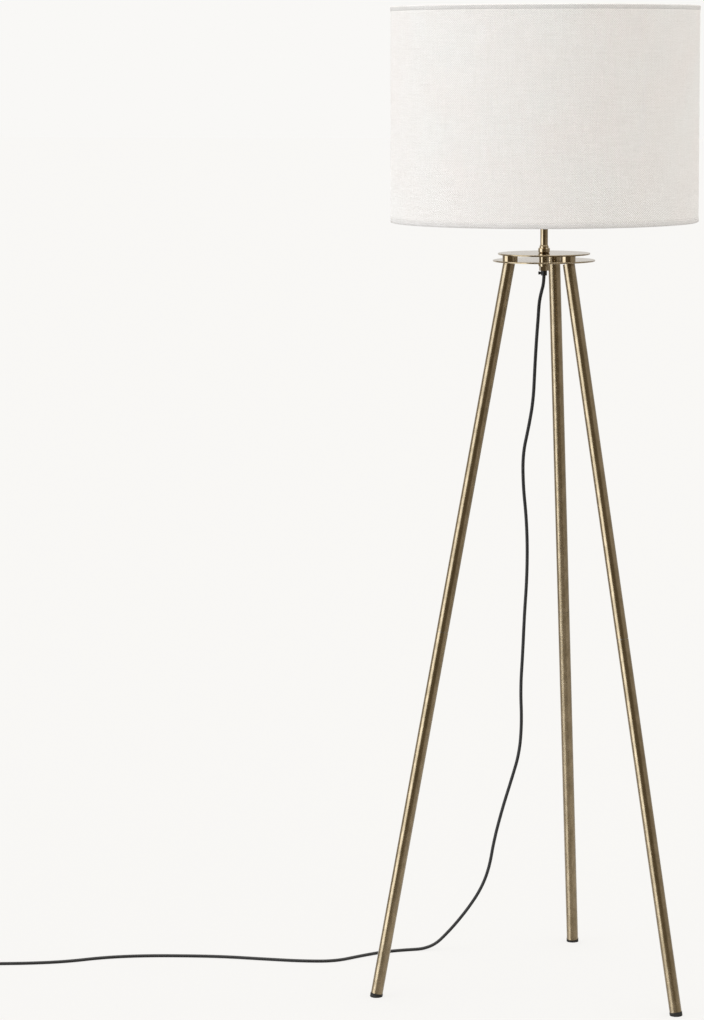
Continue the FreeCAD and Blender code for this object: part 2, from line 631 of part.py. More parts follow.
def switch_knob():
    """The shaft that turns the switch and the ribbed knob on its end."""
    place = sideways("0", SWITCH_HEIGHT)
    shaft = "(Dims.switch_shaft_diameter / 2)"
    knob = "(Dims.knob_diameter / 2)"
    knob_start = "(Dims.holder_diameter / 2 + Dims.knob_gap)"
    knob_end = f"({knob_start} + Dims.knob_length)"
    shaft_end = f"({knob_end} - Dims.knob_length / 4)"
    hole = f"({shaft} + Dims.push_fit)"
    outline = [
        (hole, knob_start),
        (knob, knob_start),
        (knob, f"{knob_end} - {knob} / 4"),
        (f"{knob} - {knob} / 4", knob_end),
        ("0", knob_end),
        ("0", f"{shaft_end} + Dims.push_fit"),
        (hole, f"{shaft_end} + Dims.push_fit"),
    ]
    body = turned("knob_body", outline, place)
    rib = f"({knob} * sin(180 deg / Dims.knob_ribs) / 2)"
    grooves = []
    for number in range(int(size("Dims.knob_ribs"))):
        turn = f"({number} * 360 deg / Dims.knob_ribs)"
        groove_place = (
            f"placement(vector({knob_start}; {STEM_Y} + {knob} * cos({turn});"
            f" {SWITCH_HEIGHT} + {knob} * sin({turn})); rotation(vector(0; 1; 0); 90 deg))"
        )
        grooves.append(cylinder(f"knob_groove_{number}", rib, "Dims.knob_length", groove_place))
    return [
        rod("switch_shaft", shaft, "Dims.switch_shaft_start", shaft_end, place),
        less("switch_knob", body, together("knob_grooves", grooves)),
    ]


# ---------------------------------------------------------------- bulb
def bulb():
    cap = "(Dims.bulb_cap_diameter / 2)"
    cap_wall = "Dims.screw_shell_wall"
    cap_low = f"({BULB_TIP} + Dims.bulb_cone_rise)"
    cap_high = f"({BULB_TIP} + Dims.bulb_cap_height)"
    tip = f"({cap} / 4)"
    contact = [
        ("0", BULB_TIP),
        (f"{tip} - Dims.push_fit", BULB_TIP),
        (f"{tip} - Dims.push_fit", f"{BULB_TIP} + Dims.bulb_tip_rise"),
        ("0", f"{BULB_TIP} + Dims.bulb_tip_rise"),
    ]
    shell = [
        ("0", f"{BULB_TIP} + Dims.bulb_tip_rise"),
        (tip, f"{BULB_TIP} + Dims.bulb_tip_rise"),
        (cap, cap_low),
        (cap, cap_high),
        (f"{cap} - {cap_wall}", cap_high),
        (f"{cap} - {cap_wall}", cap_low),
        (tip, f"{BULB_TIP} + Dims.bulb_tip_rise + {cap_wall}"),
        ("0", f"{BULB_TIP} + Dims.bulb_tip_rise + {cap_wall}"),
    ]
    # The glass: a ball on a waist that curves in to the neck, both walls on the same centres.
    ball = "(Dims.bulb_diameter / 2)"
    neck = "(Dims.bulb_neck_diameter / 2)"
    ball_level = f"({BULB_TIP} + Dims.bulb_length - {ball})"
    rise = f"({ball_level} - {cap_high})"
    waist = f"(({neck} ^ 2 + {rise} ^ 2 - {ball} ^ 2) / (2 * ({ball} - {neck})))"
    span = f"({ball} + {waist})"
    wall = "Dims.glass_wall"
    share_out = f"(({neck} + {waist}) / {span})"
    share_down = f"({rise} / {span})"
    meet = (f"{ball} * {share_out}", f"{ball_level} - {ball} * {share_down}")
    inner_meet = (
        f"({ball} - {wall}) * {share_out}",
        f"{ball_level} - ({ball} - {wall}) * {share_down}",
    )
    crown = "(Dims.bulb_crown_diameter / 2)"
    crown_level = f"({ball_level} + sqrt({ball} ^ 2 - {crown} ^ 2))"
    crown_under = f"({ball_level} + sqrt(({ball} - {wall}) ^ 2 - {crown} ^ 2))"
    skirt = f"({cap_low} + {cap_wall})"
    neck_in = f"({cap} - {cap_wall} - Dims.push_fit)"
    glass = [
        (neck_in, skirt),
        (neck_in, cap_high),
        (neck, cap_high, f"({neck} + {waist})"),
        (meet[0], meet[1], "0"),
        (crown, crown_level),
        ("0", crown_level),
        ("0", crown_under),
        (crown, crown_under, "0"),
        (inner_meet[0], inner_meet[1], f"({neck} + {waist})"),
        (f"{neck} - {wall}", cap_high),
        (f"{neck} - {wall}", skirt),
    ]
    return [turned("bulb_contact", contact), turned("bulb_cap", shell), turned("bulb_glass", glass)]


# ---------------------------------------------------------------- shade
def shade():
    outer = "(Dims.shade_diameter / 2)"
    gap = "Dims.layer_gap"
    trim = "Dims.trim_thickness"
    linen_in = f"({outer} - Dims.fabric_thickness)"
    liner_out = f"({linen_in} - {gap})"
    liner_in = f"({liner_out} - Dims.liner_thickness)"
    wire = "(Dims.ring_wire / 2)"
    ring_radius = f"({liner_in} - {gap} - {wire})"
    trim_in = f"({ring_radius} - {wire} - {gap} - {trim})"
    low, high = f"({SHADE_BASE} + {trim} + {gap})", f"({SHADE_TOP} - {trim} - {gap})"
    nodes = [
        tube("shade_linen", outer, linen_in, low, high),
        tube("shade_liner", liner_out, liner_in, low, high),
    ]

    def edge(name, end, way):
        """A turned edge over the linen, the liner and the wire; way is + where it opens upwards."""
        reach = f"{end} {way} Dims.trim_height"
        crown = f"{end} {way} {trim}"
        outline = [
            (trim_in, end),
            (f"{outer} + {gap} + {trim}", end),
            (f"{outer} + {gap} + {trim}", reach),
            (f"{outer} + {gap}", reach),
            (f"{outer} + {gap}", crown),
            (f"{trim_in} + {trim}", crown),
            (f"{trim_in} + {trim}", reach),
            (trim_in, reach),
        ]
        return turned(name, outline)

    def wire_ring(name, level):
        ring = doc.addObject("Part::Torus", name)
        ring.Label = name
        ring.setExpression("Radius1", ring_radius)
        ring.setExpression("Radius2", wire)
        ring.setExpression(
            "Placement", f"placement(vector(0; {STEM_Y}; {level}); rotation(vector(0; 0; 1); 0))"
        )
        return ring

    ring_low = f"({low} + {wire})"
    nodes.append(wire_ring("shade_ring_lower", ring_low))
    nodes.append(wire_ring("shade_ring_upper", f"({high} - {wire})"))
    fitter_hole = "(Dims.holder_diameter / 2 + Dims.fitter_play)"
    fitter = f"({fitter_hole} + Dims.fitter_width)"
    fitter_middle = f"({FITTER_UNDER} + Dims.fitter_thickness / 2)"
    arm_start = f"({fitter} + {gap})"
    arm_end = f"({ring_radius} - {wire} - {gap})"
    run = f"({arm_end} - {arm_start})"
    climb = f"({fitter_middle} - {ring_low})"
    length = f"sqrt({run} ^ 2 + {climb} ^ 2)"
    arms, slots = [], []
    for number, turn in enumerate(SPIDER_ARMS, start=1):
        away = f"cos({turn} deg)", f"sin({turn} deg)"
        place = (
            f"placement(vector({arm_start} * {away[0]}; {STEM_Y} + {arm_start} * {away[1]};"
            f" {fitter_middle}); rotation(vector(-{away[1]}; {away[0]}; 0);"
            f" 90 deg + atan({climb} / {run})))"
        )
        arms.append(cylinder(f"arm_{number}", "Dims.arm_wire / 2", length, place))
        slots.append(cylinder(f"arm_slot_{number}", "Dims.arm_wire / 2 + Dims.shade_play", length, place))
    nodes.append(together("shade_spider_arms", arms))
    slotted = less("shade_trim_lower", edge("trim_lower_blank", SHADE_BASE, "+"), together("slots", slots))
    nodes.append(slotted)
    nodes.append(edge("shade_trim_upper", SHADE_TOP, "-"))
    fitter_top = f"({FITTER_UNDER} + Dims.fitter_thickness)"
    nodes.append(tube("shade_fitter_ring", fitter, fitter_hole, FITTER_UNDER, fitter_top))
    return nodes


def clamp_rings():
    """The two threaded rings on the lampholder that hold the shade's fitter ring between them."""
    thread = "(Dims.holder_diameter / 2 + Dims.push_fit)"
    collar = f"({thread} + Dims.clamp_wall)"
    flange = f"({collar} + Dims.clamp_flange_width)"
    rings = []
    faces = {
        "lower": (f"({FITTER_UNDER} - Dims.shade_play)", "-"),
        "upper": (f"({FITTER_UNDER} + Dims.fitter_thickness + Dims.shade_play)", "+"),
    }
    for name, (face, way) in faces.items():
        outline = [
            (thread, face),
            (flange, face),
            (flange, f"{face} {way} Dims.clamp_flange"),
            (collar, f"{face} {way} Dims.clamp_flange"),
            (collar, f"{face} {way} Dims.clamp_height"),
            (thread, f"{face} {way} Dims.clamp_height"),
        ]
        rings.append(turned(f"clamp_{name}", outline))
    return [together("shade_clamp_rings", rings)]


# ---------------------------------------------------------------- flex, coil and plug
def rounded_route(name, points):
    """Straight runs joined by arcs as large as the runs allow, as one wire."""
    radii, edges = [], []
    start = points[0]
    for before, corner, after in zip(points, points[1:], points[2:]):
        back, ahead = (before - corner), (after - corner)
        half_turn = (math.pi - back.getAngle(ahead)) / 2
        trim = 0.45 * min(back.Length, ahead.Length)
        back.normalize()
        ahead.normalize()
        first, last = corner + back * trim, corner + ahead * trim
        radius = trim / math.tan(half_turn)
        inward = (back + ahead).normalize()
        middle = corner + inward * (radius / math.cos(half_turn) - radius)
        edges.append(Part.LineSegment(start, first).toShape())
        edges.append(Part.Arc(first, middle, last).toShape())
        radii.append(radius)
        start = last
    edges.append(Part.LineSegment(start, points[-1]).toShape())
    print(f"{name} radii:", " ".join(f"{radius:.0f}" for radius in radii))
    return Part.Wire(edges)


def flex_tube(name, points):
    """A round tube along a rounded route."""
    radius = size(FLEX_RADIUS)
    path = rounded_route(name, points)
    along = (points[1] - points[0]).normalize()
    section = Part.Wire(Part.Circle(points[0], along, radius).toShape())
    solid = Part.Solid(path.makePipeShell([section], True, False))
    expected = math.pi * radius ** 2 * path.Length
    print(f"{name}: length {path.Length:.1f}, volume over expected {solid.Volume / expected:.5f}")
    if abs(solid.Volume / expected - 1) > 0.002:
        raise ValueError(f"{name} isn't one round tube")
    piece = doc.addObject("Part::Feature", name)
    piece.Label = name
    piece.Shape = solid
    piece.Placement = FreeCAD.Placement()
    return piece


def flex():
    lying = size(FLEX_RADIUS)
    stem_axis = Vector(0, size(STEM_Y), 0)
    lead = [Vector(0, 0, size(FLEX_EXIT))] + [Vector(*point) for point in HANGING]
    lead += [Vector(x, y, lying) for x, y in ON_FLOOR]
    nodes = [
        flex_tube("flex_lead", [stem_axis + point for point in lead]),
        flex_tube("flex_tail", [stem_axis + Vector(*point) for point in TAIL]),
    ]
    middle = "(Dims.coil_middle_diameter / 2)"
    inside = f"({middle} - Dims.coil_width / 2)"
    outside = f"({middle} + Dims.coil_width / 2)"
    rounding = "(Dims.flex_diameter / 2 - Dims.push_fit)"
    low = "Dims.coil_lift"
    high = "(Dims.coil_lift + Dims.coil_rise)"
    near, far = f"({inside} + {rounding})", f"({outside} - {rounding})"
    coil = [
        (near, low),
        (far, low, far),
        (outside, f"{low} + {rounding}"),
        (outside, f"{high} - {rounding} - Dims.push_fit", far),
        (far, f"{high} - Dims.push_fit"),
        (near, f"{high} - Dims.push_fit", near),
        (inside, f"{high} - {rounding} - Dims.push_fit"),
        (inside, f"{low} + {rounding}", near),
    ]
    x, y = COIL_CENTRE
    place = f"placement(vector({x}; {STEM_Y} + {y}; 0); rotation(vector(0; 0; 1); 0))"
    nodes.append(turned("flex_coil", coil, place))
    return nodes


def plug():
    """A flat two-pin plug that lies on the floor, its flex relief towards the coil."""
    end_x, end_y = str(TAIL[-1][0]), f"({STEM_Y} + {TAIL[-1][1]})"
    level = "Dims.plug_thickness / 2"
    turn = f"rotation(vector(0; 0; 1); {PLUG_HEADING} deg)"
    place = f"placement(vector({end_x}; {end_y}; {level}); {turn})"
    root = "Dims.relief_length"
    nose = f"({root} + Dims.plug_length)"
    body = doc.addObject("PartDesign::Body", "plug_shell")
    sketch = sketch_on(body, "plug_outline", "XY_Plane")
    draw(
        sketch,
        [
            (root, "-Dims.plug_tail_width / 2"),
            (f"{nose} - Dims.plug_shoulder", "-Dims.plug_width / 2"),
            (nose, "-Dims.plug_nose_width / 2"),
            (nose, "Dims.plug_nose_width / 2"),
            (f"{nose} - Dims.plug_shoulder", "Dims.plug_width / 2"),
            (root, "Dims.plug_tail_width / 2"),
        ],
    )
    pad = body.newObject("PartDesign::Pad", "plug_pad")
    pad.Profile = sketch
    pad.Midplane = True
    pad.setExpression("Length", "Dims.plug_thickness")
    doc.recompute()
    long_edges = [
        f"Edge{number}"
        for number, edge in enumerate(pad.Shape.Edges, start=1)
        if abs(edge.Vertexes[0].Z - edge.Vertexes[1].Z) < 1e-6
        and min(edge.Vertexes[0].X, edge.Vertexes[1].X) < size(nose) - 1e-6
        and abs(edge.Vertexes[0].X - edge.Vertexes[1].X) > 1e-6
    ]
    fillet = body.newObject("PartDesign::Fillet", "plug_rounding")
    fillet.Base = (pad, long_edges)
    fillet.setExpression("Radius", "Dims.plug_edge")
    sketch.Visibility = False
    body.setExpression("Placement", place)

    sideways_turn = f"{turn} * rotation(vector(0; 1; 0); 90 deg)"
    relief_place = f"placement(vector({end_x}; {end_y}; {level}); {sideways_turn})"
    relief = turned(
        "plug_relief",
        [
            ("0", "0"),
            ("Dims.relief_end_diameter / 2", "0"),
            ("Dims.relief_root_diameter / 2", root),
            ("0", root),
        ],
        relief_place,
    )
    pins, sleeves, ways = [], [], []
    heading = f"({PLUG_HEADING} deg)"
    pin_start = f"({nose} - Dims.pin_root)"
    pin_end = f"({nose} + Dims.pin_length)"
    pin = "(Dims.pin_diameter / 2)"
    sleeve = "(Dims.pin_sleeve_diameter / 2)"
    sleeve_bore = f"({sleeve} - Dims.pin_sleeve_wall)"
    waist = f"({sleeve_bore} - Dims.push_fit)"
    sleeve_end = f"({nose} + Dims.pin_sleeve_length)"
    for number, way in enumerate(("-1", "1"), start=1):
        aside = f"({way} * Dims.pin_spacing / 2)"
        pin_place = (
            f"placement(vector({end_x} - {aside} * sin{heading};"
            f" {end_y} + {aside} * cos{heading}; {level}); {sideways_turn})"
        )
        pin_outline = [
            ("0", pin_start),
            (waist, pin_start),
            (waist, sleeve_end),
            (pin, sleeve_end),
            (pin, f"{pin_end} - {pin} / 3"),
            (f"{pin} * 2 / 3", pin_end),
            ("0", pin_end),
        ]
        pins.append(turned(f"pin_{number}", pin_outline, pin_place))
        sleeves.append(tube(f"sleeve_{number}", sleeve, sleeve_bore, pin_start, sleeve_end, pin_place))
        ways.append(rod(f"pin_way_{number}", sleeve, pin_start, nose, pin_place))
    blank = together("plug_blank", [body, relief])
    return [
        less("plug_body", blank, together("pin_ways", ways)),
        together("plug_pins", pins),
        together("plug_pin_sleeves", sleeves),
    ]


# ---------------------------------------------------------------- build, check and write
nodes = legs() + hub() + flex_grip() + stem() + lampholder() + switch_knob() + bulb()
nodes += shade() + clamp_rings() + flex() + plug()
doc.recompute()

for item in doc.Objects:
    if "Invalid" in item.State or "Error" in item.State:
        raise RuntimeError(f"{item.Name} failed: {item.State}")
for node in nodes:
    if node.Shape.isNull() or not node.Shape.isValid() or not node.Shape.Solids:
        raise RuntimeError(f"{node.Label} has no valid solid")

os.makedirs("parts", exist_ok=True)
for node in nodes:
    node.Shape.exportStep(f"parts/{node.Label}.step")
print(len(nodes), "nodes written")
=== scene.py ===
import json
import math

import bmesh
import bpy
from mathutils import Matrix, Vector


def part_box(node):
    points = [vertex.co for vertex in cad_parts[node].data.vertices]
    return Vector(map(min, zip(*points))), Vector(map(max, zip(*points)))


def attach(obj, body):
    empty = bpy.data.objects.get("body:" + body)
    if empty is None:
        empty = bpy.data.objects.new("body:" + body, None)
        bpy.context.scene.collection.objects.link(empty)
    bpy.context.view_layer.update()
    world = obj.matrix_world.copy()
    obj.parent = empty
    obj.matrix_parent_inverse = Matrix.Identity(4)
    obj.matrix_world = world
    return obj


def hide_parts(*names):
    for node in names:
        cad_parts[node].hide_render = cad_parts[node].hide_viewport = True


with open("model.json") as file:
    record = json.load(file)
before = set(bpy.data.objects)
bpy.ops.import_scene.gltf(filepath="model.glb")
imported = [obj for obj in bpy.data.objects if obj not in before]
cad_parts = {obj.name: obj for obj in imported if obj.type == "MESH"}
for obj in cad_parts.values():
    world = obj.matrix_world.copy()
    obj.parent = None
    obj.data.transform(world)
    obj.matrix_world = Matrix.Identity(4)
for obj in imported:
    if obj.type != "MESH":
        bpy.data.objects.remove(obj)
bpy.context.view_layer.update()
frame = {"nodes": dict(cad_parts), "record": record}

# Where things are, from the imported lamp, in metres. The stem stands in the middle of the linen drum.
linen_low, linen_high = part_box("shade_linen")
STEM_AXIS = Vector(((linen_low.x + linen_high.x) / 2, (linen_low.y + linen_high.y) / 2, 0))
FLEX_EXIT = Vector((STEM_AXIS.x, STEM_AXIS.y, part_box("flex_grip")[0].z))
FLEX_DIAMETER = 0.0053
PLAIN_BACKGROUND = "#F9F8F6"


# ---------------------------------------------------------------- helpers
def linear(colour):
    """An sRGB hex colour as linear red, green, blue and alpha."""
    values = [int(colour[place : place + 2], 16) / 255 for place in (1, 3, 5)]
    return [v / 12.92 if v <= 0.04045 else ((v + 0.055) / 1.055) ** 2.4 for v in values] + [1.0]


def across(millimetres):
    """The scale of a noise whose patches are this far apart."""
    return 1000 / millimetres


def add(tree, kind, settings, inputs):
    """A new node with its settings; each input is a value or another node's output."""
    node = tree.nodes.new(kind)
    for name, value in settings.items():
        setattr(node, name, value)
    for name, value in inputs.items():
        if isinstance(value, bpy.types.NodeSocket):
            tree.links.new(value, node.inputs[name])
        else:
            node.inputs[name].default_value = value
    return node


def empty_material(name):
    """A material with an empty node tree."""
    material = bpy.data.materials.new(name)
    material.use_nodes = True
    material.node_tree.nodes.clear()
    return material


def paint(piece, material):
    """Gives the whole piece one material."""
    if not piece.data.materials:
        piece.data.materials.append(material)
    for place in range(len(piece.data.materials)):
        piece.data.materials[place] = material


def piece_from(name, form, smooth=True):
    """A new object at the origin from a finished bmesh."""
    mesh = bpy.data.meshes.new(name)
    form.to_mesh(mesh)
    form.free()
    piece = bpy.data.objects.new(name, mesh)
    bpy.context.scene.collection.objects.link(piece)
    for face in mesh.polygons:
        face.use_smooth = smooth
    return piece


def face_outwards(form):
    """Turns the faces of a shape round the stem one way, with its outermost face looking outwards."""
    bmesh.ops.recalc_face_normals(form, faces=form.faces[:])
    outermost = max(form.faces, key=lambda face: (face.calc_center_median() - STEM_AXIS).to_2d().length)
    if outermost.normal.dot(outermost.calc_center_median() - STEM_AXIS) < 0:
        bmesh.ops.reverse_faces(form, faces=form.faces[:])


def give_thickness(piece, thickness, offset):
    """A wall behind the surface at offset -1, or in front of it at offset 1."""
    wall = piece.modifiers.new("thickness", "SOLIDIFY")
    wall.thickness, wall.offset = thickness, offset


# ---------------------------------------------------------------- camera
CAMERA_PLACE = (1.028, -5.3785, 1.4722)
CAMERA_TURN, CAMERA_PITCH, CAMERA_ROLL = 0.24505, 0.12854, -0.00335
camera = bpy.data.objects.new("camera", bpy.data.cameras.new("camera"))
bpy.context.scene.collection.objects.link(camera)
camera.data.lens = 122.63
camera.data.sensor_width = 36.0
camera.data.clip_end = 200.0
camera.matrix_world = (
    Matrix.Translation(CAMERA_PLACE)
    @ Matrix.Rotation(CAMERA_TURN, 4, "Z")
    @ Matrix.Rotation(math.pi / 2 - CAMERA_PITCH, 4, "X")
    @ Matrix.Rotation(CAMERA_ROLL, 4, "Z")
)
bpy.context.scene.camera = camera
bpy.context.scene.view_settings.view_transform = "Standard"


# ---------------------------------------------------------------- flex
# From the stem's axis, in metres: first it hangs, then it lies on the floor.
HANGING = [
    (-0.0005, 0.0, 1.125), (-0.004, 0.001, 1.113), (-0.008, 0.0025, 1.096), (-0.010, 0.006, 1.073),
    (-0.014, 0.012, 1.035), (-0.018, 0.020, 0.990), (-0.022, 0.029, 0.938), (-0.031, 0.037, 0.894),
    (-0.042, 0.045, 0.850), (-0.043, 0.055, 0.797), (-0.040, 0.065, 0.749), (-0.040, 0.076, 0.699),
    (-0.043, 0.087, 0.641), (-0.049, 0.098, 0.582), (-0.054, 0.111, 0.519), (-0.060, 0.123, 0.457),
    (-0.060, 0.135, 0.399), (-0.066, 0.146, 0.345), (-0.082, 0.155, 0.295), (-0.098, 0.164, 0.247),
    (-0.114, 0.174, 0.191), (-0.124, 0.184, 0.141), (-0.139, 0.189, 0.103), (-0.162, 0.190, 0.067),
    (-0.192, 0.189, 0.029),
]
ON_FLOOR = [
    (-0.219, 0.165), (-0.265, 0.142), (-0.293, 0.123), (-0.323, 0.089), (-0.354, 0.048),
    (-0.405, 0.036), (-0.471, 0.034), (-0.542, 0.034), (-0.611, 0.023), (-0.675, 0.008),
    (-0.733, -0.017), (-0.783, -0.056), (-0.837, -0.080), (-0.895, -0.097), (-0.945, -0.110),
]
# Down off the coil's upper layer, and up to the plug's middle.
TAIL = [
    (-0.9868, -0.0862, 0.00875), (-0.9905, -0.073, 0.0072), (-0.995, -0.059, 0.005),
    (-0.9985, -0.044, 0.0046), (-1.003, -0.028, 0.00685),
]
COIL_CENTRE = Vector((-0.9538, -0.0768, 0))
COIL_OUTER_RADIUS, COIL_INNER_RADIUS = 0.0343, 0.0237
COIL_FIRST_ANGLE = math.radians(-75.1)
COIL_TURNS = 5.247
# The tie's strap lies under the coil.
COIL_LIFT = 0.0008
# Of the coil's turns: each layer's, where the upper layer is climbed to, and where it starts outwards.
LAYER_TURNS = 2.0
CLIMB_FIRST_TURN, CLIMB_TURNS = 2.1, 0.8
OUTWARD_FIRST_TURN = 3.0
POINTS_PER_TURN = 16


def coil_points():
    """Two turns in, up a layer on the inner turn, and two turns out, wound clockwise from above."""
    low = COIL_LIFT + FLEX_DIAMETER / 2
    # The spline passes inside its points, so they stand a little further out.
    widen = 1 / math.cos(math.pi / POINTS_PER_TURN)
    step = (COIL_OUTER_RADIUS - COIL_INNER_RADIUS) / LAYER_TURNS
    count = round(COIL_TURNS * POINTS_PER_TURN)
    points = []
    for number in range(1, count):
        turns = COIL_TURNS * number / count
        inward = min(turns, LAYER_TURNS)
        outward = min(max(turns - OUTWARD_FIRST_TURN, 0.0), LAYER_TURNS)
        radius = (COIL_OUTER_RADIUS - step * (inward - outward)) * widen
        climb = min(max((turns - CLIMB_FIRST_TURN) / CLIMB_TURNS, 0.0), 1.0)
        height = low + FLEX_DIAMETER * climb * climb * (3 - 2 * climb)
        angle = COIL_FIRST_ANGLE - turns * 2 * math.pi
        points.append(COIL_CENTRE + Vector((radius * math.cos(angle), radius * math.sin(angle), height)))
    return points


route = [Vector((0, 0, FLEX_EXIT.z))] + [Vector(point) for point in HANGING]
route += [Vector((x, y, FLEX_DIAMETER / 2)) for x, y in ON_FLOOR]
route += coil_points()
route += [Vector(point) for point in TAIL]
flex_curve = bpy.data.curves.new("mains_flex", "CURVE")
flex_curve.dimensions = "3D"
flex_line = flex_curve.splines.new("NURBS")
flex_line.points.add(len(route) - 1)
for spline_point, place in zip(flex_line.points, route):
    spline_point.co = (*(STEM_AXIS + place), 1.0)
flex_line.order_u = 3
flex_line.use_endpoint_u = True
flex_line.resolution_u = 10
flex_curve.use_fill_caps = True
flex_curve.bevel_resolution = 5
flex_route = bpy.data.objects.new("flex_route", flex_curve)
bpy.context.scene.collection.objects.link(flex_route)


def mesh_of_route(name, radius):
    """The route as a mesh: its centre line at radius 0, or a round tube."""
    flex_curve.bevel_depth = radius
    bpy.context.view_layer.update()
    shaped = flex_route.evaluated_get(bpy.context.evaluated_depsgraph_get())
    mesh = bpy.data.meshes.new_from_object(shaped)
    mesh.name = name
    return mesh


centre_line = mesh_of_route("flex_centre_line", 0.0)
mains_flex = bpy.data.objects.new("mains_flex", mesh_of_route("mains_flex", FLEX_DIAMETER / 2))
bpy.context.scene.collection.objects.link(mains_flex)
# The tube's sides are smooth, and its two end caps flat.
for face in mains_flex.data.polygons:
    face.use_smooth = len(face.vertices) == 4
bpy.data.objects.remove(flex_route)
bpy.data.meshes.remove(centre_line)
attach(mains_flex, "stand")
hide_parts("flex_lead", "flex_coil", "flex_tail")

TIE_THICKNESS = COIL_LIFT
TIE_WIDTH = 0.009
TIE_CORNER = 0.0026
TIE_INSIDE = COIL_INNER_RADIUS - FLEX_DIAMETER / 2
TIE_OUTSIDE = COIL_OUTER_RADIUS + FLEX_DIAMETER / 2
TIE_ANGLE = math.radians(40)


def coil_tie():
    """A flat strap drawn tight round the coil's turns, across both layers."""
    low, high = COIL_LIFT, COIL_LIFT + 2 * FLEX_DIAMETER
    middle = Vector(((TIE_INSIDE + TIE_OUTSIDE) / 2, 0, (low + high) / 2))
    form = bmesh.new()
    bmesh.ops.create_grid(form, x_segments=1, y_segments=1, size=0.5)
    for vertex in form.verts:
        across_coil = vertex.co.x * (TIE_OUTSIDE - TIE_INSIDE)
        vertex.co = middle + Vector((across_coil, 0, vertex.co.y * (high - low)))
    bmesh.ops.bevel(
        form,
        geom=form.verts[:],
        offset=TIE_CORNER,
        affect="VERTICES",
        segments=6,
        profile=0.5,
        material=-1,
    )
    bmesh.ops.delete(form, geom=form.faces[:], context="FACES_ONLY")
    made = bmesh.ops.extrude_edge_only(form, edges=form.edges[:])["geom"]
    far_side = [part for part in made if isinstance(part, bmesh.types.BMVert)]
    bmesh.ops.translate(form, vec=(0, TIE_WIDTH, 0), verts=far_side)
    bmesh.ops.translate(form, vec=(0, -TIE_WIDTH / 2, 0), verts=form.verts[:])
    bmesh.ops.recalc_face_normals(form, faces=form.faces[:])
    turn = Matrix.Rotation(TIE_ANGLE, 3, "Z")
    bmesh.ops.rotate(form, cent=(0, 0, 0), matrix=turn, verts=form.verts[:])
    bmesh.ops.translate(form, vec=STEM_AXIS + COIL_CENTRE, verts=form.verts[:])
    tie = piece_from("flex_tie", form)
    give_thickness(tie, TIE_THICKNESS, 1.0)
    return tie


flex_tie = coil_tie()
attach(flex_tie, "stand")

# ---------------------------------------------------------------- linen shade
SEGMENTS = 256
LINEN_RADIUS = (linen_high.x - linen_low.x) / 2
LINEN_THICKNESS = 0.0008
LINEN_RINGS = 33
trim_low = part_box("shade_trim_lower")
trim_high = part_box("shade_trim_upper")
SHADE_BASE, SHADE_TOP = trim_low[0].z, trim_high[1].z
TRIM_RADIUS = (trim_low[1].x - trim_low[0].x) / 2
TRIM_HEIGHT = 0.007
TRIM_WIDTH = 0.0068
TRIM_ROLL = 0.0026
TRIM_THICKNESS = 0.0005
SEAM_WIDTH = 0.012
SEAM_THICKNESS = 0.0006


def drum_wall():
    """The linen cover: one closed cloth drum in rings ten millimetres apart."""
    form = bmesh.new()
    bmesh.ops.create_circle(form, cap_ends=False, segments=SEGMENTS, radius=LINEN_RADIUS)
    bmesh.ops.translate(form, vec=(STEM_AXIS.x, STEM_AXIS.y, linen_low.z), verts=form.verts[:])
    rim = form.edges[:]
    for _ in range(LINEN_RINGS):
        made = bmesh.ops.extrude_edge_only(form, edges=rim)["geom"]
        rim = [part for part in made if isinstance(part, bmesh.types.BMEdge)]
        raised = [part for part in made if isinstance(part, bmesh.types.BMVert)]
        bmesh.ops.translate(form, vec=(0, 0, (linen_high.z - linen_low.z) / LINEN_RINGS), verts=raised)
    face_outwards(form)
    cover = piece_from("linen_cover", form)
    give_thickness(cover, LINEN_THICKNESS, -1.0)
    return cover


def turned_edge(name, level, way):
    """The linen turned over a wire ring, as a rounded band.

    It starts at level and rises by way: 1 at the shade's lower edge, -1 at its upper edge.
    """
    inner = TRIM_RADIUS - TRIM_WIDTH
    # From the drum's face, round the outer and the inner roll, and up the inside.
    profile = [(LINEN_RADIUS - 0.0001, TRIM_HEIGHT + 0.001), (LINEN_RADIUS + 0.0003, TRIM_HEIGHT - 0.001)]
    for middle, first, last in ((TRIM_RADIUS - TRIM_ROLL, 0, 90), (inner + TRIM_ROLL, 90, 180)):
        for degrees in range(first, last + 1, 15):
            turn = math.radians(degrees)
            profile.append(
                (middle + TRIM_ROLL * math.cos(turn), TRIM_ROLL - TRIM_ROLL * math.sin(turn))
            )
    profile.append((inner, TRIM_HEIGHT))
    form = bmesh.new()
    corners = [
        form.verts.new((STEM_AXIS.x + radius, STEM_AXIS.y, level + way * height))
        for radius, height in profile
    ]
    line = [form.edges.new(pair) for pair in zip(corners, corners[1:])]
    bmesh.ops.spin(
        form,
        geom=corners + line,
        cent=STEM_AXIS,
        axis=(0, 0, 1),
        angle=2 * math.pi,
        steps=SEGMENTS,
        use_merge=True,
    )
    bmesh.ops.remove_doubles(form, verts=form.verts[:], dist=0.00001)
    face_outwards(form)
    edge = piece_from(name, form)
    give_thickness(edge, TRIM_THICKNESS, -1.0)
    return edge


